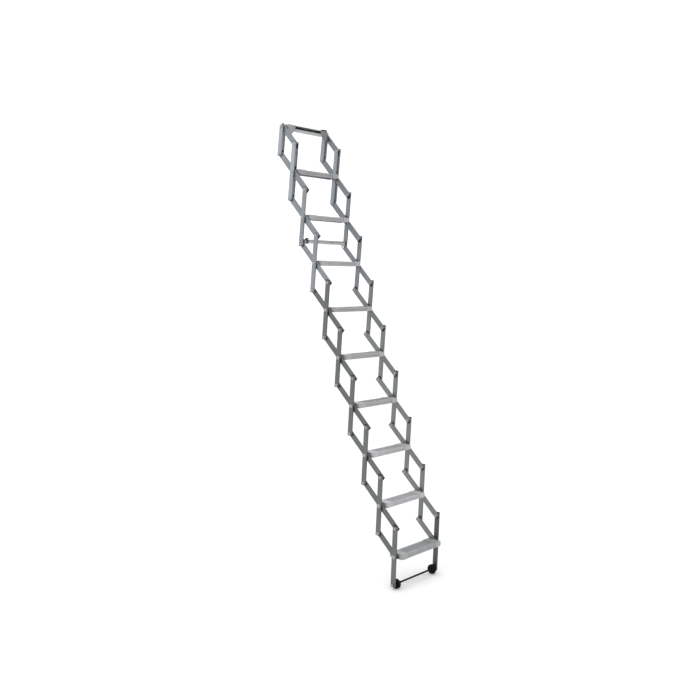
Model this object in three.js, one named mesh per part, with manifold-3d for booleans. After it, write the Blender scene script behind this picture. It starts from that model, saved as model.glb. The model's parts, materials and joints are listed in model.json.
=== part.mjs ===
// Concertina attic ladder: two lazy-tongs side lattices of riveted links carry nine level treads.
// Millimetres, +Z up, treads along X, the climber's side towards -Y.
// The origin is the middle of the top rail's back face, which is screwed to the hatch frame.
import * as THREE from 'three';
import { mergeVertices } from 'three/addons/utils/BufferGeometryUtils.js';
import Module from 'manifold-3d';

const wasm = await Module();
wasm.setup();

// Lattice
const BAYS = 9; // one tread at the foot of each bay
const HALF_LINK = 146; // mean distance from a link's middle pivot to an end pivot
const HALF_OPENING = 25; // degrees between a link and its bay's centre line
const TOP_LEAN = 17.6; // degrees from vertical at the top pivot
const BAY_SAG = 0.54; // degrees of further lean in each bay below
const PIVOT_Y = -33; // top pivot, measured from the mounting face
const HEAVY_DIAGONALS = 3; // diagonal links of the larger tube

// Links, drawn tubes whose X values are distances from the middle of the ladder
const UPRIGHT = { width: 28, inner: 170.3, outer: 179.9 };
const LIGHT_DIAGONAL = { width: 28, inner: 160.2, outer: 169.9 };
const HEAVY_DIAGONAL = { width: 31, inner: 158.6, outer: 169.9 };
const TUBE_WALL = 1.8;
const TUBE_CORNER_R = 2.5;
const TUBE_CORNER_STEPS = 2;
const LINK_HIGH_END = 14; // from a link's upper pivot to the end of its tube
const UPRIGHT_LOW_END = 8.5;
const DIAGONAL_LOW_END = 12;
const FIRST_UPRIGHT_HIGH_END = 8;
const DOUBLED_UPRIGHTS = 2; // upright links with a second bar inside the diagonals
const INNER_BAR = [154.6, 158.2];
const INNER_BAR_HOLE_R = 5.8;
const GAP = 0.4;

// Pins
const PIN_SIDES = 8;
const RIVET_R = 4;
const RIVET_HOLE_R = 5;
const RIVET_HEAD_R = 6;
const CROSS_PIN_R = 5;
const CROSS_HOLE_R = 5.8;
const CROSS_BUSH_R = 8.5;
const CROSS_HEAD_R = 7;
const HEAD_THICK = 1.5;
const AXLE_NUT_THICK = 3.8;

// Treads: the highest two are thinner, the lowest is larger and reaches out to the links
const UPPER_TREAD = { depth: 70, height: 23, raise: 0, end: 154 };
const MIDDLE_TREAD = { depth: 71, height: 24, raise: 1.2, end: 154 };
const LOWEST_TREAD = { depth: 80, height: 25.5, raise: 0.8, end: 159.2 };
const UPPER_TREADS = 2;
const TREAD_WALL = 2.2;
const TREAD_LIP = 9;
const RIBS = 8;
const RIB_PITCH = 7;
const RIB_WIDTH = 3;
const RIB_HEIGHT = 1;
const BEAD_HEIGHT = 0.9;
const SLEEVE_LENGTH = 46;
const SLEEVE_PROUD = 1.6;
const CHEEK_THICK = 4;
const CHEEK_INNER = 150;

// Top rail and brackets
const RAIL_TOP = 13;
const RAIL_BOTTOM = -9;
const RAIL_DEPTH = 60;
const RAIL_SHEET = 3;
const RAIL_HALF_LENGTH = 149.6;
const SCREW_X = 105;
const SCREW_HOLE_R = 3.5;
const BRACKET_OUTER = 154;
const FACE_PLATE_INNER = 100; // upper inner edge of the front face plate
const FACE_PLATE_TOE = 131; // inner corner at its foot
const BRACKET_BOTTOM = -42;

// Tie bar between the third pair of rear pivots
const TIE_BAR_BAY = 3;
const TIE_BAR_R = 11.5;
const TIE_BAR_WALL = 1.8;
const TIE_BAR_OFFSET = 17; // up the upright link from its lower pivot
const TIE_LUG = [155.4, 159.4];
const TIE_LUG_WIDTH = 24;
const ARC_STEPS = 4;

// Foot
const WHEEL_R = 25;
const WHEEL_INNER = 139;
const WHEEL_OUTER = 158;
const WHEEL_BORE_R = 5.8;
const WHEEL_SIDES = 16;
const AXLE_R = 5;
const AXLE_COLLAR_R = 8;

const MATERIALS = {
  link: new THREE.MeshStandardMaterial({ color: 0x9a9fa2, roughness: 0.45, metalness: 0.85 }),
  tread: new THREE.MeshStandardMaterial({ color: 0xaeadb0, roughness: 0.5, metalness: 0.8 }),
  rail: new THREE.MeshStandardMaterial({ color: 0x50575a, roughness: 0.5, metalness: 0.7 }),
  bracket: new THREE.MeshStandardMaterial({ color: 0x9fa6a4, roughness: 0.4, metalness: 0.85 }),
  tube: new THREE.MeshStandardMaterial({ color: 0xb6b0ae, roughness: 0.4, metalness: 0.8 }),
  axle: new THREE.MeshStandardMaterial({ color: 0x2a2c2c, roughness: 0.5, metalness: 0.6 }),
  wheel: new THREE.MeshStandardMaterial({ color: 0x0c0d0d, roughness: 0.7, metalness: 0 }),
};

// ---- Solids ----

function solid(geometry) {
  const bare = geometry.clone();
  bare.deleteAttribute('normal');
  bare.deleteAttribute('uv');
  const merged = mergeVertices(bare, 1e-4);
  return new wasm.Manifold(new wasm.Mesh({
    numProp: 3,
    vertProperties: new Float32Array(merged.attributes.position.array),
    triVerts: new Uint32Array(merged.index.array),
  }));
}

function geometryOf(manifold) {
  const mesh = manifold.getMesh();
  const geometry = new THREE.BufferGeometry();
  geometry.setAttribute('position', new THREE.BufferAttribute(mesh.vertProperties, 3));
  geometry.setIndex(new THREE.BufferAttribute(mesh.triVerts, 1));
  geometry.computeVertexNormals();
  return geometry;
}

function join(...solids) {
  return solids.reduce((whole, next) => whole.add(next));
}

// An outline drawn in Y and Z becomes a plate between two X values.
const ALONG_X = new THREE.Matrix4().makeBasis(
  new THREE.Vector3(0, 1, 0),
  new THREE.Vector3(0, 0, 1),
  new THREE.Vector3(1, 0, 0),
);

function plate(shape, xLow, xHigh) {
  const geometry = new THREE.ExtrudeGeometry(shape, {
    depth: xHigh - xLow,
    bevelEnabled: false,
    curveSegments: ARC_STEPS,
  });
  geometry.translate(0, 0, xLow);
  return solid(geometry.applyMatrix4(ALONG_X));
}

function outline(points) {
  return new THREE.Shape(points.map(([y, z]) => new THREE.Vector2(y, z)));
}

// A stepped pin about X: each step is [radius, x], given from low X to high X.
function pin(steps, y, z, sides = PIN_SIDES) {
  const profile = steps.map(([radius, x]) => new THREE.Vector2(radius, x));
  const geometry = new THREE.LatheGeometry(profile, sides);
  geometry.rotateZ(-Math.PI / 2);
  geometry.translate(0, y, z);
  return solid(geometry);
}

function rod(radius, xLow, xHigh, y, z, sides = PIN_SIDES) {
  return pin([[0, xLow], [radius, xLow], [radius, xHigh], [0, xHigh]], y, z, sides);
}

function mirrored(geometry) {
  const copy = geometry.clone();
  copy.scale(-1, 1, 1);
  const order = copy.index.array;
  for (let i = 0; i < order.length; i += 3) {
    [order[i], order[i + 1]] = [order[i + 1], order[i]];
  }
  copy.computeVertexNormals();
  return copy;
}

// ---- Lattice ----

const radians = THREE.MathUtils.degToRad;

// The rear arm of a link is a little longer than its front arm, so the open lattice sags in an arc
// and every pivot still closes.
const armRatio = Math.cos(radians(HALF_OPENING - BAY_SAG / 2)) / Math.cos(radians(HALF_OPENING + BAY_SAG / 2));
const FRONT_ARM = (2 * HALF_LINK) / (1 + armRatio);
const REAR_ARM = FRONT_ARM * armRatio;

const uprightLean = (i) => TOP_LEAN + i * BAY_SAG - HALF_OPENING;
const diagonalLean = (i) => TOP_LEAN + i * BAY_SAG + HALF_OPENING;

// From a pivot, down a link that leans forward by so many degrees.
function down(from, lean, distance) {
  const angle = radians(lean);
  return [from[0] - distance * Math.sin(angle), from[1] - distance * Math.cos(angle)];
}

const crossing = [[PIVOT_Y, 0]];
for (let i = 0; i < BAYS; i += 1) {
  const rear = down(crossing[i], uprightLean(i), REAR_ARM);
  crossing.push(down(rear, diagonalLean(i + 1), REAR_ARM));
}

const diagonalTube = (i) => (i < HEAVY_DIAGONALS ? HEAVY_DIAGONAL : LIGHT_DIAGONAL);

function hole(radius, z) {
  const path = new THREE.Path();
  for (let k = 0; k < PIN_SIDES; k += 1) {
    const angle = (2 * Math.PI * k) / PIN_SIDES;
    const point = [radius * Math.cos(angle), z + radius * Math.sin(angle)];
    if (k === 0) path.moveTo(...point);
    else path.lineTo(...point);
  }
  path.closePath();
  return path;
}

// A strip with round ends.
function strip(width, high, low) {
  const radius = width / 2;
  const shape = new THREE.Shape();
  shape.absarc(0, high, radius, 0, Math.PI);
  shape.absarc(0, low, radius, Math.PI, 2 * Math.PI);
  shape.closePath();
  return shape;
}

// A bar along Z whose section in X and Y is a rectangle with round corners.
function bar(x, halfWidth, corner, low, high) {
  const shape = new THREE.Shape();
  shape.absarc(x[1] - corner, halfWidth - corner, corner, 0, Math.PI / 2);
  shape.absarc(x[0] + corner, halfWidth - corner, corner, Math.PI / 2, Math.PI);
  shape.absarc(x[0] + corner, -halfWidth + corner, corner, Math.PI, 1.5 * Math.PI);
  shape.absarc(x[1] - corner, -halfWidth + corner, corner, 1.5 * Math.PI, 2 * Math.PI);
  shape.closePath();
  const geometry = new THREE.ExtrudeGeometry(shape, {
    depth: high - low,
    bevelEnabled: false,
    curveSegments: TUBE_CORNER_STEPS,
  });
  geometry.translate(0, 0, low);
  return solid(geometry);
}

// A drawn tube with open ends, drilled across by holes given as [radius, z].
function drilledTube({ width, inner, outer }, low, high, holes) {
  const wall = TUBE_WALL;
  const skin = bar([inner, outer], width / 2, TUBE_CORNER_R, low, high);
  const bore = bar([inner + wall, outer - wall], width / 2 - wall, TUBE_CORNER_R - wall, low - 1, high + 1);
  return holes.reduce(
    (tube, [radius, z]) => tube.subtract(rod(radius, inner - 1, outer + 1, 0, z)),
    skin.subtract(bore),
  );
}

// The rivet is fixed in an upright link and turns in the diagonal that it carries.
function rivet(z, upright, diagonal) {
  const tail = upright < DOUBLED_UPRIGHTS ? INNER_BAR[0] : diagonalTube(diagonal).inner - GAP;
  const seat = UPRIGHT.outer - TUBE_WALL / 2;
  return pin([
    [0, tail - HEAD_THICK], [RIVET_HEAD_R, tail - HEAD_THICK], [RIVET_HEAD_R, tail + GAP / 4],
    [RIVET_R, tail + GAP / 4], [RIVET_R, seat], [RIVET_HEAD_R, seat],
    [RIVET_HEAD_R, UPRIGHT.outer + HEAD_THICK], [0, UPRIGHT.outer + HEAD_THICK],
  ], 0, z);
}

function innerBar(low, high) {
  const halfWidth = UPRIGHT.width / 2;
  const flat = outline([[-halfWidth, low], [halfWidth, low], [halfWidth, high], [-halfWidth, high]]);
  flat.holes = [hole(INNER_BAR_HOLE_R, 0)];
  return plate(flat, ...INNER_BAR);
}

function uprightLink(i) {
  const high = i === 0 ? FIRST_UPRIGHT_HIGH_END : FRONT_ARM + LINK_HIGH_END;
  const low = -REAR_ARM - UPRIGHT_LOW_END;
  const holes = [[CROSS_HOLE_R, 0]];
  const carriesTie = i + 1 === TIE_BAR_BAY;
  if (carriesTie) holes.push([RIVET_HOLE_R, -REAR_ARM]);
  if (i === BAYS) holes.push([CROSS_HOLE_R, -REAR_ARM]);
  let link = drilledTube(UPRIGHT, low, high, holes);
  if (i < DOUBLED_UPRIGHTS) link = link.add(innerBar(low, high));
  if (i > 0) link = link.add(rivet(FRONT_ARM, i, i - 1));
  if (i < BAYS && !carriesTie) link = link.add(rivet(-REAR_ARM, i, i + 1));
  return geometryOf(link);
}

function diagonalLink(i) {
  const high = (i === 0 ? 0 : REAR_ARM) + LINK_HIGH_END;
  const low = (i === BAYS ? 0 : -FRONT_ARM) - DIAGONAL_LOW_END;
  const holes = [[CROSS_HOLE_R, 0]];
  if (i > 0) holes.push([RIVET_HOLE_R, REAR_ARM]);
  if (i < BAYS) holes.push([RIVET_HOLE_R, -FRONT_ARM]);
  return geometryOf(drilledTube(diagonalTube(i), low, high, holes));
}

// ---- Treads ----

function treadSize(i) {
  if (i <= UPPER_TREADS) return UPPER_TREAD;
  return i < BAYS ? MIDDLE_TREAD : LOWEST_TREAD;
}

// Section of the tread: a channel open below, with ribs on top, two beads in front and inturned lips.
function treadSection({ depth, height, raise }) {
  const front = -depth / 2;
  const back = depth / 2;
  const top = height / 2 + raise;
  const bottom = -height / 2 + raise;
  const points = [];
  for (const z of [raise - 4.5, raise + 2.5]) {
    points.push([front, z - 1.5], [front - BEAD_HEIGHT, z - 0.8]);
    points.push([front - BEAD_HEIGHT, z + 0.8], [front, z + 1.5]);
  }
  points.push([front, top - 3], [front + 0.9, top - 0.9], [front + 3, top]);
  for (let k = 0; k < RIBS; k += 1) {
    const centre = (k - (RIBS - 1) / 2) * RIB_PITCH;
    const half = RIB_WIDTH / 2;
    points.push([centre - half, top], [centre - half + 0.6, top + RIB_HEIGHT]);
    points.push([centre + half - 0.6, top + RIB_HEIGHT], [centre + half, top]);
  }
  points.push([back - 3, top], [back, top - 3], [back, bottom]);
  points.push([back - TREAD_LIP, bottom], [back - TREAD_LIP, bottom + TREAD_WALL]);
  points.push([back - TREAD_WALL, bottom + TREAD_WALL], [back - TREAD_WALL, top - TREAD_WALL]);
  points.push([front + TREAD_WALL, top - TREAD_WALL], [front + TREAD_WALL, bottom + TREAD_WALL]);
  points.push([front + TREAD_LIP, bottom + TREAD_WALL], [front + TREAD_LIP, bottom], [front, bottom]);
  return outline(points.reverse());
}

// The sleeve folds over the front, top and back of a tread's end.
function sleeveSection({ depth, height, raise }) {
  const side = depth / 2 + SLEEVE_PROUD;
  const inner = depth / 2 - TREAD_WALL / 2;
  const top = height / 2 + raise + SLEEVE_PROUD;
  const under = height / 2 + raise - TREAD_WALL / 2;
  const bottom = -height / 2 + raise;
  return outline([
    [-side, bottom], [-inner, bottom], [-inner, under], [inner, under], [inner, bottom], [side, bottom],
    [side, top - 2], [side - 2, top], [-side + 2, top], [-side, top - 2],
  ]);
}

function cheekSection({ depth, height, raise }) {
  const side = depth / 2 + SLEEVE_PROUD;
  const top = height / 2 + raise + SLEEVE_PROUD;
  const bottom = -height / 2 + raise;
  return outline([
    [-side, bottom + 3], [-side + 5, bottom], [side - 5, bottom], [side, bottom + 3],
    [side, top - 2], [side - 2, top], [-side + 2, top], [-side, top - 2],
  ]);
}

// The tread's end pin passes through the crossing of both links.
function treadPin(i) {
  const inside = CHEEK_INNER + CHEEK_THICK / 2;
  const bushEnd = (i < DOUBLED_UPRIGHTS ? INNER_BAR[0] : diagonalTube(i).inner) - GAP;
  const head = UPRIGHT.outer + GAP;
  return pin([
    [0, inside], [CROSS_BUSH_R, inside], [CROSS_BUSH_R, bushEnd], [CROSS_PIN_R, bushEnd],
    [CROSS_PIN_R, head], [CROSS_HEAD_R, head], [CROSS_HEAD_R, head + HEAD_THICK], [0, head + HEAD_THICK],
  ], 0, 0);
}

function treadEnd(i) {
  const size = treadSize(i);
  return join(
    plate(sleeveSection(size), size.end - SLEEVE_LENGTH, CHEEK_INNER + CHEEK_THICK / 2),
    plate(cheekSection(size), CHEEK_INNER, size.end),
    treadPin(i),
  );
}

function tread(i) {
  const length = CHEEK_INNER + CHEEK_THICK / 2;
  const body = plate(treadSection(treadSize(i)), -length, length);
  const right = treadEnd(i);
  return geometryOf(join(body, right, solid(mirrored(geometryOf(right)))));
}

// ---- Top ----

// A channel open to the front.
function topRail() {
  const sheet = RAIL_SHEET;
  const section = outline([
    [0, RAIL_BOTTOM], [0, RAIL_TOP], [-RAIL_DEPTH, RAIL_TOP], [-RAIL_DEPTH, RAIL_TOP - sheet],
    [-sheet, RAIL_TOP - sheet], [-sheet, RAIL_BOTTOM + sheet],
    [-RAIL_DEPTH, RAIL_BOTTOM + sheet], [-RAIL_DEPTH, RAIL_BOTTOM],
  ]);
  let rail = plate(section, -RAIL_HALF_LENGTH, RAIL_HALF_LENGTH);
  for (const x of [-SCREW_X, SCREW_X]) {
    const drill = new THREE.CylinderGeometry(SCREW_HOLE_R, SCREW_HOLE_R, 4 * sheet, 2 * PIN_SIDES);
    drill.translate(x, 0, (RAIL_TOP + RAIL_BOTTOM) / 2);
    rail = rail.subtract(solid(drill));
  }
  return geometryOf(rail);
}

// A cheek closes the rail's end and carries the pivot shaft; a face plate covers the rail's front.
function topBracket() {
  const back = -RAIL_DEPTH - GAP;
  const front = back - RAIL_SHEET;
  const cheek = outline([
    [0, RAIL_BOTTOM], [0, RAIL_TOP], [front, RAIL_TOP], [front, BRACKET_BOTTOM],
    [front + 12, BRACKET_BOTTOM], [-14, RAIL_BOTTOM],
  ]);
  const pivotHole = hole(CROSS_HOLE_R, 0).getPoints().map((p) => new THREE.Vector2(p.x + PIVOT_Y, p.y));
  cheek.holes = [new THREE.Path(pivotHole)];
  const facePlate = new THREE.Shape([
    new THREE.Vector2(BRACKET_OUTER, RAIL_TOP),
    new THREE.Vector2(FACE_PLATE_INNER, RAIL_TOP),
    new THREE.Vector2(FACE_PLATE_INNER, RAIL_BOTTOM - 1),
    new THREE.Vector2(FACE_PLATE_TOE, BRACKET_BOTTOM),
    new THREE.Vector2(BRACKET_OUTER, BRACKET_BOTTOM),
  ]);
  const face = new THREE.ExtrudeGeometry(facePlate, { depth: RAIL_SHEET, bevelEnabled: false });
  face.rotateX(Math.PI / 2);
  face.translate(0, back, 0);
  return geometryOf(join(plate(cheek, BRACKET_OUTER - CHEEK_THICK, BRACKET_OUTER), solid(face)));
}

function pivotShaft() {
  const end = UPRIGHT.outer + GAP;
  const head = end + HEAD_THICK;
  return geometryOf(pin([
    [0, -head], [CROSS_HEAD_R, -head], [CROSS_HEAD_R, -end], [CROSS_PIN_R, -end],
    [CROSS_PIN_R, end], [CROSS_HEAD_R, end], [CROSS_HEAD_R, head], [0, head],
  ], 0, 0));
}

// ---- Tie bar and foot ----

// In the frame of its upright link, from the lower pivot.
function tieBar() {
  const tube = rod(TIE_BAR_R, -TIE_LUG[0] - 1, TIE_LUG[0] + 1, 0, TIE_BAR_OFFSET, 2 * PIN_SIDES);
  const bore = rod(TIE_BAR_R - TIE_BAR_WALL, -TIE_LUG[1] - 1, TIE_LUG[1] + 1, 0, TIE_BAR_OFFSET, 2 * PIN_SIDES);
  const head = UPRIGHT.outer + GAP;
  const lug = plate(strip(TIE_LUG_WIDTH, TIE_BAR_OFFSET, 0), ...TIE_LUG);
  const stud = pin([
    [0, TIE_LUG[0] + 1], [RIVET_R, TIE_LUG[0] + 1], [RIVET_R, head],
    [RIVET_HEAD_R, head], [RIVET_HEAD_R, head + HEAD_THICK], [0, head + HEAD_THICK],
  ], 0, 0);
  const right = join(lug, stud);
  return geometryOf(join(tube, right, solid(mirrored(geometryOf(right)))).subtract(bore));
}

function wheel() {
  const middle = (WHEEL_INNER + WHEEL_OUTER) / 2;
  const hub = (WHEEL_OUTER - WHEEL_INNER) / 2;
  const tyre = hub - 1.5;
  const recess = hub - 4;
  const half = [
    [WHEEL_BORE_R, hub], [11, hub], [13, recess], [19, recess], [20, tyre], [WHEEL_R - 2.5, tyre],
    [WHEEL_R, tyre - 2.5],
  ];
  const profile = [...half, ...half.map(([r, x]) => [r, -x]).reverse()].map(([r, x]) => [r, middle + x]);
  return geometryOf(pin([...profile, profile[0]].reverse(), 0, 0, WHEEL_SIDES));
}

function footAxle() {
  const leg = UPRIGHT.outer;
  const half = [
    [AXLE_R, WHEEL_OUTER + GAP], [AXLE_COLLAR_R, WHEEL_OUTER + GAP], [AXLE_COLLAR_R, WHEEL_OUTER + 4],
    [AXLE_R, WHEEL_OUTER + 4], [AXLE_R, leg + GAP], [AXLE_COLLAR_R, leg + GAP],
    [AXLE_COLLAR_R, leg + GAP + AXLE_NUT_THICK], [0, leg + GAP + AXLE_NUT_THICK],
  ];
  const inner = [[AXLE_COLLAR_R, WHEEL_INNER - 4], [AXLE_COLLAR_R, WHEEL_INNER - GAP], [AXLE_R, WHEEL_INNER - GAP]];
  const right = [[AXLE_R, WHEEL_INNER - 4], ...inner, ...half];
  const left = right.map(([r, x]) => [r, -x]).reverse();
  return geometryOf(pin([...left, ...right], 0, 0, PIN_SIDES));
}

// ---- Assembly ----

const ladder = new THREE.Group();

function place(name, geometry, material, [y, z], lean = 0) {
  const mesh = new THREE.Mesh(geometry, MATERIALS[material]);
  mesh.name = name;
  mesh.position.set(0, y, z);
  mesh.rotation.x = -radians(lean);
  ladder.add(mesh);
}

function placePair(name, geometry, material, at, lean = 0) {
  place(`right_${name}`, geometry, material, at, lean);
  place(`left_${name}`, mirrored(geometry), material, at, lean);
}

place('top_rail', topRail(), 'rail', [0, 0]);
placePair('top_bracket', topBracket(), 'bracket', [0, 0]);
place('pivot_shaft', pivotShaft(), 'axle', crossing[0]);

for (let i = 0; i <= BAYS; i += 1) {
  placePair(`upright_link_${i}`, uprightLink(i), 'link', crossing[i], uprightLean(i));
  placePair(`diagonal_link_${i}`, diagonalLink(i), 'link', crossing[i], diagonalLean(i));
}

for (let i = 1; i <= BAYS; i += 1) place(`tread_${i}`, tread(i), 'tread', crossing[i]);

const tieUpright = TIE_BAR_BAY - 1;
const tiePivot = down(crossing[tieUpright], uprightLean(tieUpright), REAR_ARM);
place('tie_bar', tieBar(), 'tube', tiePivot, uprightLean(tieUpright));

const foot = down(crossing[BAYS], uprightLean(BAYS), REAR_ARM);
place('foot_axle', footAxle(), 'axle', foot);
placePair('wheel', wheel(), 'wheel', foot);

export default ladder;
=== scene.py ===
"""Looks of the concertina attic ladder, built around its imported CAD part."""
import json
import math

import bmesh
import bpy
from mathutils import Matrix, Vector

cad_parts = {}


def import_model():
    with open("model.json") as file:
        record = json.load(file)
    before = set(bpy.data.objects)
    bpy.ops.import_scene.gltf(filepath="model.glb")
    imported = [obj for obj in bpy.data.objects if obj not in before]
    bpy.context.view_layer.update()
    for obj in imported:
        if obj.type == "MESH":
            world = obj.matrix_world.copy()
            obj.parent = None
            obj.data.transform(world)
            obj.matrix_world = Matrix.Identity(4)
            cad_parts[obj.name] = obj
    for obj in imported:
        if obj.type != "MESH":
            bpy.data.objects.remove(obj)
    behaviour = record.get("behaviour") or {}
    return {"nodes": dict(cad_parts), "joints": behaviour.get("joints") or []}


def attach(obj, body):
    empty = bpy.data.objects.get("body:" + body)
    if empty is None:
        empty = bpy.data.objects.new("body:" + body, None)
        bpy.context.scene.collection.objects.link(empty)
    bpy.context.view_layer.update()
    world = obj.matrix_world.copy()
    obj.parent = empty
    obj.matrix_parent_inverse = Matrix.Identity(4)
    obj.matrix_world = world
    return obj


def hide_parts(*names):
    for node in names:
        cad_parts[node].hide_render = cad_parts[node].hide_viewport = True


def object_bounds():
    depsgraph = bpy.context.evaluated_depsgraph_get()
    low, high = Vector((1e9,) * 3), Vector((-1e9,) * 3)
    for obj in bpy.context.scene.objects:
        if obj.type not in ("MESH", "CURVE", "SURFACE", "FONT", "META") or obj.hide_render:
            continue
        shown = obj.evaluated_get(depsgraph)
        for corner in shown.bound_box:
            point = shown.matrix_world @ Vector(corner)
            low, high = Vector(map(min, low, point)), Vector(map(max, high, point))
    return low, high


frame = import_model()
CAD_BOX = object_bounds()
NODES = frame["nodes"]
JOINTS = {j["name"]: j for j in frame["joints"]}
SCENE = bpy.context.scene
MM = 0.001

BAYS = 9
HEAVY_DIAGONALS = 3  # the topmost diagonals, of a wider tube
DOUBLED_UPRIGHTS = 2  # the topmost uprights, with an inner bar
LAST_UPPER_STEP = 3  # the links down to this one get the brighter painted-light tones
TOP_DIAGONAL_LEAN = 42.6  # degrees forward of straight down
UPRIGHT_LEAN = -5.2  # mean over the bays, for the grain
DIAGONAL_LEAN = 45.0
FLOOR_Z = min(c[2] for c in CAD_BOX)
SKY_BRIGHT = 1.22
SKY_DIM = 0.3

# Across one side, as distances from the middle of the ladder
UPRIGHT_X = (170.3 * MM, 179.9 * MM)
HEAVY_X = (158.6 * MM, 169.9 * MM)
LIGHT_X = (160.2 * MM, 169.9 * MM)
INNER_BAR_X = 154.6 * MM
WHEEL_X = 148.5 * MM

# Along and across the links
FRONT_ARM = 145.68 * MM
UPRIGHT_HALF = 14 * MM
HEAVY_HALF = 15.5 * MM
LIGHT_HALF = 14 * MM
HIGH_END = 14 * MM  # from the pivot to the end of the tube
FIRST_UPRIGHT_HIGH_END = 8 * MM
DIAGONAL_LOW_END = 12 * MM
UPRIGHT_LOW_END = 8.5 * MM


# ---- Materials ----

class Nodes:
    """A short way to build a node material."""

    def __init__(self, name):
        self.material = bpy.data.materials.new(name)
        self.material.use_nodes = True
        self.tree = self.material.node_tree
        self.shader = self.tree.nodes["Principled BSDF"]

    def add(self, kind, inputs=None, **settings):
        node = self.tree.nodes.new(kind)
        for key, value in settings.items():
            setattr(node, key, value)
        for key, value in (inputs or {}).items():
            if hasattr(value, "is_output"):
                self.tree.links.new(value, node.inputs[key])
            else:
                node.inputs[key].default_value = value
        return node

    def link(self, source, socket):
        self.tree.links.new(source, self.shader.inputs[socket])

    def maths(self, operation, a, b):
        node = self.add("ShaderNodeMath", {0: a, 1: b}, operation=operation)
        return node.outputs[0]

    def ramp(self, source, stops):
        node = self.add("ShaderNodeValToRGB", {"Fac": source})
        elements = node.color_ramp.elements
        while len(elements) < len(stops):
            elements.new(0.5)
        for element, (place, colour) in zip(elements, stops):
            element.position = place
            element.color = (*colour, 1)
        return node.outputs["Color"]

    def multiply(self, factor, a, b):
        node = self.add("ShaderNodeMix", data_type="RGBA", blend_type="MULTIPLY")
        for index, value in ((0, factor), (6, a), (7, b)):
            if hasattr(value, "is_output"):
                self.tree.links.new(value, node.inputs[index])
            elif index == 0:
                node.inputs[index].default_value = value
            else:
                node.inputs[index].default_value = (*value, 1)
        return node.outputs[2]

    def space(self, lean=0.0, scale=(1, 1, 1)):
        """Object coordinates, turned so that Z runs along a member that leans by so many degrees."""
        place = self.add("ShaderNodeTexCoord")
        turned = self.add(
            "ShaderNodeMapping",
            {"Vector": place.outputs["Object"], "Rotation": (math.radians(lean), 0, 0)},
            vector_type="POINT",
        )
        scaled = self.add(
            "ShaderNodeVectorMath",
            {0: turned.outputs[0], 1: scale},
            operation="MULTIPLY",
        )
        return scaled.outputs[0]

    def noise(self, vector, scale, detail=3.0, rough=0.55):
        node = self.add(
            "ShaderNodeTexNoise",
            {"Vector": vector, "Scale": scale, "Detail": detail, "Roughness": rough},
        )
        return node.outputs["Fac"]

    def shaded_edges(self, tone):
        """A grey of 1 on flat faces that falls to the tone at edges and round corners: painted shade on the
        edges.
        """
        rounded = self.add("ShaderNodeBevel", {"Radius": 0.0035}, samples=4)
        true = self.add("ShaderNodeNewGeometry")
        near = self.add("ShaderNodeVectorMath", {0: rounded.outputs[0], 1: true.outputs["Normal"]},
                        operation="DOT_PRODUCT")
        return self.ramp(near.outputs["Value"], [(0.8, (tone,) * 3), (0.985, (1, 1, 1))])

    def bump(self, height, strength, distance):
        node = self.add("ShaderNodeBump", {"Height": height, "Strength": strength, "Distance": distance})
        self.link(node.outputs[0], "Normal")


def metal(name, tones, lean, grain, rough=(0.3, 0.5), metallic=0.9, corner_shade=0.35, edge=0.55):
    """Rolled or drawn metal: grain along Z, cloudy oxide patches, and painted shade that darkens corners and
    edges.
    """
    n = Nodes(name)
    streaks = n.noise(n.space(lean, grain), 1.0, 4.0, 0.65)
    patches = n.noise(n.space(lean, (1, 1, 0.45)), 14.0, 4.0, 0.6)
    dark, middle, light = tones
    base = n.ramp(patches, [(0.3, dark), (0.5, middle), (0.72, light)])
    scratch = n.ramp(streaks, [(0.35, (0.92, 0.92, 0.92)), (0.65, (1.05, 1.05, 1.05))])
    base = n.multiply(0.7, base, scratch)
    # Painted shade: ambient occlusion darkens the colour in corners, recesses and between parts.
    corner = n.add("ShaderNodeAmbientOcclusion", {"Distance": 0.012}, samples=6)
    depth = n.maths("POWER", corner.outputs["AO"], 1.4)
    shade_in_corners = n.ramp(depth, [(0.1, (1 - corner_shade,) * 3), (0.9, (1, 1, 1))])
    base = n.multiply(1.0, base, shade_in_corners)
    # Painted shade on edges and round corners, multiplied into the base colour.
    n.link(n.multiply(1.0, base, n.shaded_edges(edge)), "Base Color")
    spread = n.maths("ADD", n.maths("MULTIPLY", streaks, 0.5), n.maths("MULTIPLY", patches, 0.5))
    node = n.add("ShaderNodeMapRange", {"Value": spread, "From Min": 0.3, "From Max": 0.7,
                                        "To Min": rough[0], "To Max": rough[1]})
    n.link(node.outputs[0], "Roughness")
    n.shader.inputs["Metallic"].default_value = metallic
    n.bump(streaks, 0.1, 0.0002)
    return n.material


def dull(name, tones, rough=(0.55, 0.75)):
    """Moulded rubber, nylon or lacquer: fine pitting, scuffs and dust."""
    n = Nodes(name)
    pits = n.noise(n.space(), 700.0, 3.0, 0.7)
    scuffs = n.noise(n.space(), 60.0, 5.0, 0.7)
    dark, light = tones
    n.link(n.ramp(scuffs, [(0.4, dark), (0.75, light)]), "Base Color")
    node = n.add("ShaderNodeMapRange", {"Value": scuffs, "From Min": 0.3, "From Max": 0.7,
                                        "To Min": rough[0], "To Max": rough[1]})
    n.link(node.outputs[0], "Roughness")
    n.shader.inputs["Specular IOR Level"].default_value = 0.12
    n.bump(pits, 0.3, 0.0003)
    return n.material


def grey(value, tint=(1.0, 1.0, 1.0)):
    return tuple(value * t for t in tint)


def tones(middle, tint, spread=0.12):
    return [grey(middle * (1 + s), tint) for s in (-spread, 0, spread)]


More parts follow.
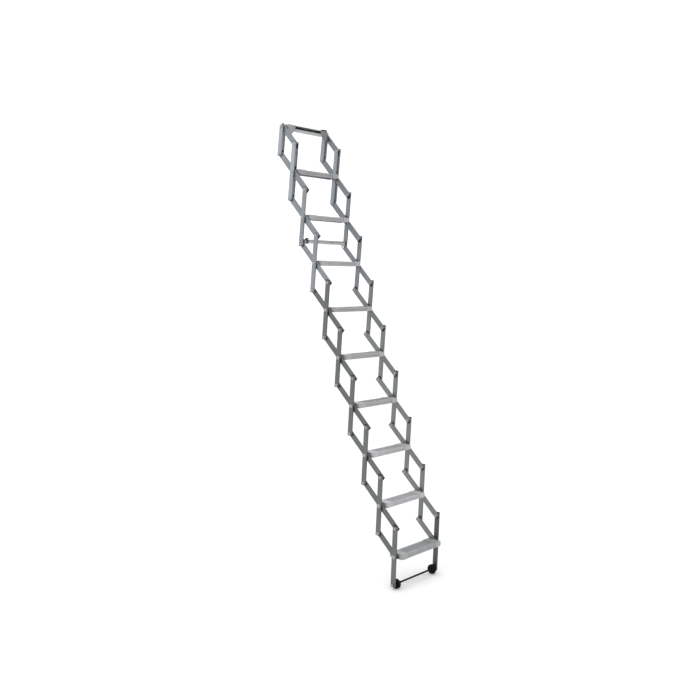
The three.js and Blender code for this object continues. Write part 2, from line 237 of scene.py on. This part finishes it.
SKY = (0.93, 1.0, 1.07)
COOL = (0.96, 1.01, 1.02)
LILAC = (1.0, 0.985, 1.02)
LINK_GRAIN = (900, 900, 18)
CROSS_GRAIN = (12, 900, 900)
LINK_LIGHT_AND_SHADE_TONES = {  # painted light and shade: middle reflectance of (upper links, lower links), set by side and height
    ("left", "upright"): (0.28, 0.155),
    ("right", "upright"): (0.23, 0.21),
    ("left", "diagonal"): (0.26, 0.147),
    ("right", "diagonal"): (0.215, 0.2),
}
LINK_LIT_AND_SHADED_METALS = {}
for (side, kind), pair in LINK_LIGHT_AND_SHADE_TONES.items():
    leaning = UPRIGHT_LEAN if kind == "upright" else DIAGONAL_LEAN
    for part, value, tint in zip(("upper", "lower"), pair, (SKY, COOL)):
        LINK_LIT_AND_SHADED_METALS[side, kind, part] = metal(f"{side}_{kind}_{part}", tones(value, tint), leaning,
                                              LINK_GRAIN)
# Painted light: the doubled top uprights get a brighter copy of the link metal, lighter on the left than on
# the right.
DOUBLED_LIT_METALS = {side: metal(f"{side}_doubled_upright", tones(value, SKY), UPRIGHT_LEAN, LINK_GRAIN)
                  for side, value in (("left", 0.37), ("right", 0.3))}
# Painted shade: the right leg gets a much darker copy of the link metal.
SHADED_LEG_METAL = metal("right_leg_painted_shade", tones(0.1, COOL), UPRIGHT_LEAN, LINK_GRAIN)
TREAD_PAINTED_LIGHT_TONES = (0.44, 0.5, 0.51, 0.45, 0.45, 0.45, 0.51, 0.51, 0.38)  # painted light and shade per tread, from the top tread down
TREAD_METALS = [
    metal(f"tread_{i}_metal", tones(value, LILAC if i < BAYS else COOL, 0.08), 0, CROSS_GRAIN,
          (0.42, 0.58), 0.5, edge=0.72)
    for i, value in enumerate(TREAD_PAINTED_LIGHT_TONES, 1)
]
ZINC = metal("zinc", tones(0.36, COOL), 0, (200, 200, 200), (0.25, 0.45), edge=0.8)
# Painted light and shade: the mirrored brackets get a lighter copy on the left and a darker one on the right.
LIT_LEFT_BRACKET_METAL = metal("left_bracket_lit", tones(0.5, COOL), 0, CROSS_GRAIN, metallic=0.6)
SHADED_RIGHT_BRACKET_METAL = metal("right_bracket_shaded", tones(0.32, COOL), 0, CROSS_GRAIN, metallic=0.6)
RAIL_METAL = metal("rail_metal", tones(0.4, COOL), 0, CROSS_GRAIN, (0.5, 0.7), 0.15, 0.05, edge=0.8)
TUBE_METAL = metal("tube_metal", tones(0.56, (1.02, 0.98, 1.01)), 0, CROSS_GRAIN, edge=0.9)
CATCH_METAL = metal("catch_metal", tones(0.1, COOL), 0, CROSS_GRAIN, (0.4, 0.6), 0.6)
AXLE_METAL = dull("axle_metal", [grey(0.004), grey(0.012)], (0.5, 0.7))
BLACK_RUBBER = dull("black_rubber", [grey(0.003), grey(0.009)])
BLACK_NYLON = dull("black_nylon", [grey(0.006), grey(0.016)], (0.4, 0.55))


def dress(node, material):
    piece = NODES[node]
    piece.data.materials.clear()
    piece.data.materials.append(material)


def soften(piece, width, segments=2, angle=35.0):
    bevel = piece.modifiers.new("edges", "BEVEL")
    bevel.width = width
    bevel.segments = segments
    bevel.limit_method = "ANGLE"
    bevel.angle_limit = math.radians(angle)
    bevel.use_clamp_overlap = True
    bevel.harden_normals = True


def number_of(name):
    return int(name.rsplit("_", 1)[1])


def finish_of(name):
    if "link" in name:
        side, kind = name.split("_")[:2]
        step = number_of(name)
        if name == f"right_upright_link_{BAYS}":
            return SHADED_LEG_METAL
        if kind == "upright" and step < DOUBLED_UPRIGHTS:
            return DOUBLED_LIT_METALS[side]
        # Painted light and shade: upper and lower links get lit and shaded copies of the same metal.
        return LINK_LIT_AND_SHADED_METALS[side, kind, "upper" if step <= LAST_UPPER_STEP else "lower"]
    if name.startswith("tread"):
        return TREAD_METALS[number_of(name) - 1]
    return {"top_rail": RAIL_METAL, "tie_bar": TUBE_METAL, "foot_axle": AXLE_METAL, "pivot_shaft": ZINC,
            "left_top_bracket": LIT_LEFT_BRACKET_METAL,
            "right_top_bracket": SHADED_RIGHT_BRACKET_METAL}.get(name, BLACK_RUBBER)


for name in NODES:
    dress(name, finish_of(name))
    soften(NODES[name], 0.35 * MM)


# ---- Fittings added to the CAD part ----

def pivot(joint):
    """Y and Z of a hinge, in metres."""
    return JOINTS[joint]["pos_m"][1:]


CROSSINGS = [pivot("fold")] + [pivot(f"crossing_{i}") for i in range(1, BAYS + 1)]
REAR_PIVOTS = [None] + [pivot(f"rear_pivot_{i}") for i in range(1, BAYS + 1)]
FOOT = pivot("left_wheel_spin")


def along(start, end, distance):
    """The point that lies so far beyond end on the line from start, and the line's direction."""
    line = Vector((end[0] - start[0], end[1] - start[1])).normalized()
    return Vector(end) + line * distance, line


def build(name, body, material, forms, smooth=40.0):
    """One piece from several closed forms, each given as (vertices, faces)."""
    mesh = bpy.data.meshes.new(name)
    vertices, faces = [], []
    for points, sides in forms:
        first = len(vertices)
        vertices += [tuple(p) for p in points]
        faces += [tuple(first + k for k in side) for side in sides]
    mesh.from_pydata(vertices, [], faces)
    mesh.materials.append(material)
    mesh.validate()
    form = bmesh.new()
    form.from_mesh(mesh)
    bmesh.ops.recalc_face_normals(form, faces=form.faces)
    form.to_mesh(mesh)
    form.free()
    mesh.shade_smooth()
    mesh.set_sharp_from_angle(angle=math.radians(smooth))
    piece = bpy.data.objects.new(name, mesh)
    SCENE.collection.objects.link(piece)
    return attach(piece, body)


def turned(profile, centre, sides=28, closed=False):
    """A lathe form about X from (x, radius) points, whose ends lie on the axis unless it is a closed ring."""
    y, z = centre
    points, rings = [], []
    for x, radius in profile:
        if radius == 0:
            rings.append([len(points)])
            points.append((x, y, z))
            continue
        rings.append(list(range(len(points), len(points) + sides)))
        for k in range(sides):
            angle = 2 * math.pi * k / sides
            points.append((x, y + radius * math.cos(angle), z + radius * math.sin(angle)))
    faces = []
    if closed:
        rings.append(rings[0])
    for low, high in zip(rings, rings[1:]):
        for k in range(sides):
            following = k + 1
            ring = [low[k % len(low)], low[following % len(low)],
                    high[following % len(high)], high[k % len(high)]]
            faces.append(tuple(dict.fromkeys(ring)))
    return points, faces


def dome(side, base, radius, height, centre):
    """A pan head that stands on the plane X = base, on the side that side gives."""
    steps = [(0, 0), (0, radius), (0.3, radius), (0.62, radius * 0.9), (0.86, radius * 0.66),
             (0.97, radius * 0.36), (1, 0)]
    return turned([(side * (base + step * height), r) for step, r in steps], centre)


def prism(section, x_low, x_high):
    """A closed section in Y and Z, drawn out along X."""
    count = len(section)
    points = [(x, y, z) for x in (x_low, x_high) for y, z in section]
    faces = [tuple(range(count)), tuple(range(2 * count - 1, count - 1, -1))]
    faces += [(k, (k + 1) % count, count + (k + 1) % count, count + k) for k in range(count)]
    return points, faces


def front_point(i, lower):
    """A link's front pivot: its lower one on a diagonal, its higher one on an upright."""
    centre = Vector(CROSSINGS[i])
    if lower and i == 0:
        angle = math.radians(TOP_DIAGONAL_LEAN)
        return centre - Vector((math.sin(angle), math.cos(angle))) * FRONT_ARM
    rear = REAR_PIVOTS[i] if lower else REAR_PIVOTS[i + 1] if i < BAYS else FOOT
    return along(rear, centre, FRONT_ARM)[0]


def end_plug(x, half, start, end, reach):
    """A plug in both sides' tubes, reach beyond end on the line from start, with a chamfered rim."""
    forms = []
    for inset, low, high in ((0.0, reach, reach + 1.2 * MM), (0.8 * MM, reach + 1.2 * MM, reach + 1.8 * MM)):
        near, line = along(start, end, low)
        far = near + line * (high - low)
        across = Vector((-line[1], line[0])) * (half - inset)
        section = [tuple(p) for p in (near - across, near + across, far + across, far - across)]
        forms.append(prism(section, x[0] + inset, x[1] - inset))
        forms.append(prism(section, -x[1] + inset, -x[0] - inset))
    return forms


def diagonal_tube(i):
    """The inner and outer X of a diagonal link and half its width."""
    return (HEAVY_X, HEAVY_HALF) if i < HEAVY_DIAGONALS else (LIGHT_X, LIGHT_HALF)


def diagonal_plugs(i):
    centre = CROSSINGS[i]
    x, half = diagonal_tube(i)
    front = front_point(i, lower=True)
    forms = []
    if i < BAYS:
        forms += end_plug(x, half, centre, front, DIAGONAL_LOW_END)
    else:
        forms += end_plug(x, half, REAR_PIVOTS[i], centre, DIAGONAL_LOW_END)
    if i > 0:
        forms += end_plug(x, half, centre, REAR_PIVOTS[i], HIGH_END)
    else:
        forms += end_plug(x, half, front, centre, HIGH_END)
    build(f"diagonal_plugs_{i}", f"diagonal_{i}", BLACK_NYLON, forms)


def upright_plugs(i):
    centre = CROSSINGS[i]
    rear = REAR_PIVOTS[i + 1] if i < BAYS else FOOT
    forms = end_plug(UPRIGHT_X, UPRIGHT_HALF, centre, rear, UPRIGHT_LOW_END)
    if i > 0:
        forms += end_plug(UPRIGHT_X, UPRIGHT_HALF, centre, front_point(i, lower=False), HIGH_END)
    else:
        forms += end_plug(UPRIGHT_X, UPRIGHT_HALF, rear, centre, FIRST_UPRIGHT_HIGH_END)
    build(f"upright_plugs_{i}", f"upright_{i}", BLACK_NYLON, forms)


def rivet_heads(i):
    """Domed heads outside the upright links and inside the diagonals that they carry."""
    spots = []
    if i > 0:
        spots.append((front_point(i, lower=False), i - 1))
    if i < BAYS:
        spots.append((REAR_PIVOTS[i + 1], i + 1))
    forms = []
    for centre, diagonal in spots:
        inside = INNER_BAR_X if i < DOUBLED_UPRIGHTS else diagonal_tube(diagonal)[0][0] - 0.4 * MM
        for side in (-1, 1):
            forms.append(dome(side, UPRIGHT_X[1], 7.2 * MM, 3.0 * MM, centre))
            forms.append(turned([(side * (inside - depth * MM), r * MM) for depth, r in
                                 ((0, 0), (0, 7), (1, 7), (1.9, 6.3), (2.5, 4.2), (2.7, 0))], centre))
    build(f"rivet_heads_{i}", f"upright_{i}", ZINC, forms)


def crossing_heads(i):
    """A washer and a pan head on each end of the pin through a crossing."""
    forms = []
    for side in (-1, 1):
        forms.append(turned([(side * (UPRIGHT_X[1] + step * MM), r * MM) for step, r in
                             ((0.15, 0), (0.15, 10.2), (0.35, 10.5), (0.8, 10.5), (1.0, 10.2), (1.0, 0))],
                            CROSSINGS[i]))
        forms.append(dome(side, UPRIGHT_X[1] + 0.95 * MM, 8.4 * MM, 2.4 * MM, CROSSINGS[i]))
    build(f"crossing_heads_{i}", f"tread_{i}" if i else "rail", ZINC, forms)


for step in range(BAYS + 1):
    diagonal_plugs(step)
    upright_plugs(step)
    rivet_heads(step)
    crossing_heads(step)


def round_wheel(side):
    """A turned tyre and hub with a bore for the axle, in place of the faceted CAD wheel."""
    half = [(9.5, 5.9), (9.5, 10.6), (9.0, 11.2), (6.2, 12.6), (5.6, 13.4), (5.6, 18.6), (6.0, 19.4),
            (7.6, 20.0), (8.0, 20.6), (8.0, 22.2), (7.3, 23.9), (5.6, 24.9), (1.2, 24.9), (0.7, 24.3)]
    ring = half + [(-x, r) for x, r in reversed(half)]
    middle = side * WHEEL_X
    form = turned([(middle + x * MM, r * MM) for x, r in ring], FOOT, 64, closed=True)
    name = "left" if side < 0 else "right"
    piece = build(f"{name}_wheel_round", f"{name}_wheel", BLACK_RUBBER, [form], 30.0)
    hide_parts(f"{name}_wheel")


round_wheel(-1)
round_wheel(1)


def zinc_nuts():
    """The axle's end nuts are bright, the axle is black."""
    mesh = NODES["foot_axle"].data
    mesh.materials.append(ZINC)
    for face in mesh.polygons:
        if abs(face.center.x) > UPRIGHT_X[1]:
            face.material_index = 1


zinc_nuts()


def black_rail_block():
    """A black block on the front corner of the rail, above the right bracket only."""
    y, z = (-62 * MM, -46 * MM), (13.2 * MM, 20.3 * MM)
    cut = 1.2 * MM
    section = [(y[0], z[0]), (y[1], z[0]), (y[1], z[1] - cut), (y[1] - cut, z[1]), (y[0] + cut, z[1]),
               (y[0], z[1] - cut)]
    build("black_rail_block", "rail", BLACK_RUBBER, [prism(section, 118 * MM, 150 * MM)])


black_rail_block()


def tie_catch():
    """A dark sleeve with a short hooked lever on the left part of the tie bar."""
    axis = along(CROSSINGS[2], REAR_PIVOTS[3], -17 * MM)[0]
    ring = [(-148, 11.9), (-148, 12.4), (-147.4, 13), (-129.6, 13), (-129, 12.4), (-129, 11.9)]
    sleeve = turned([(x * MM, r * MM) for x, r in ring], tuple(axis), 32, closed=True)
    forms = [sleeve]
    for x in (-145, -135):
        lever = [(-9, 9), (5, 12), (12, 15), (18, 14), (19, 16.5), (12, 18.5), (0, 17)]
        section = [(axis[0] - dy * MM, axis[1] + dz * MM) for dy, dz in lever]
        forms.append(prism(section, x * MM, (x + 3) * MM))
    build("tie_catch", "upright_2", CATCH_METAL, forms, 30.0)


tie_catch()


# ---- Stage ----

def floor():
    mesh = bpy.data.meshes.new("floor")
    form = bmesh.new()
    bmesh.ops.create_circle(form, cap_ends=True, radius=60, segments=96)
    form.to_mesh(mesh)
    form.free()
    piece = bpy.data.objects.new("floor", mesh)
    piece.location.z = FLOOR_Z - 0.0005
    SCENE.collection.objects.link(piece)
    n = Nodes("floor_paper")
    cloud = n.noise(n.space(), 0.8, 3.0)
    n.link(n.ramp(cloud, [(0.3, grey(0.93)), (0.7, grey(0.95))]), "Base Color")
    n.shader.inputs["Roughness"].default_value = 0.9
    n.shader.inputs["Specular IOR Level"].default_value = 0.1
    mesh.materials.append(n.material)


def area_light(name, place, target, size, power):
    data = bpy.data.lights.new(name, "AREA")
    data.shape = "DISK"
    data.size = size
    data.energy = power
    lamp = bpy.data.objects.new(name, data)
    lamp.location = place
    lamp.rotation_euler = (Vector(target) - Vector(place)).to_track_quat("-Z", "Y").to_euler()
    SCENE.collection.objects.link(lamp)


def world():
    """White backdrop all round; the light is dim from the front right, as from a dark wall out of sight."""
    sky = bpy.data.worlds.new("studio")
    sky.use_nodes = True
    tree = sky.node_tree
    back = tree.nodes["Background"]
    place = tree.nodes.new("ShaderNodeTexCoord")
    turn = tree.nodes.new("ShaderNodeVectorMath")
    turn.operation = "DOT_PRODUCT"
    turn.inputs[1].default_value = (0.71, -0.68, -0.15)
    dim = tree.nodes.new("ShaderNodeMapRange")
    dim.interpolation_type = "SMOOTHSTEP"
    dim.inputs["From Min"].default_value = 0.4
    dim.inputs["From Max"].default_value = 0.85
    dim.inputs["To Min"].default_value = SKY_BRIGHT
    dim.inputs["To Max"].default_value = SKY_DIM
    tree.links.new(place.outputs["Generated"], turn.inputs[0])
    tree.links.new(turn.outputs["Value"], dim.inputs["Value"])
    seen = tree.nodes.new("ShaderNodeMix")
    seen.inputs["B"].default_value = SKY_BRIGHT
    tree.links.new(tree.nodes.new("ShaderNodeLightPath").outputs["Is Camera Ray"], seen.inputs["Factor"])
    tree.links.new(dim.outputs[0], seen.inputs["A"])
    tree.links.new(seen.outputs["Result"], back.inputs["Strength"])
    back.inputs["Color"].default_value = (1, 1, 1, 1)
    SCENE.world = sky


def camera():
    data = bpy.data.cameras.new("camera")
    data.sensor_width = 36.0
    data.lens = 42.3
    data.clip_end = 200
    view = bpy.data.objects.new("camera", data)
    view.location = (-3.29988, -3.43885, -0.87416)
    view.rotation_euler = (math.radians(90 - 4.4555), 0, math.radians(-47.1987))
    SCENE.collection.objects.link(view)
    SCENE.camera = view


floor()
world()
camera()
MIDDLE = Vector((0, -0.45, -1.2))
area_light("key", (-4.0, -1.5, 3.0), MIDDLE, 4.0, 60)
SCENE.view_settings.view_transform = "Standard"
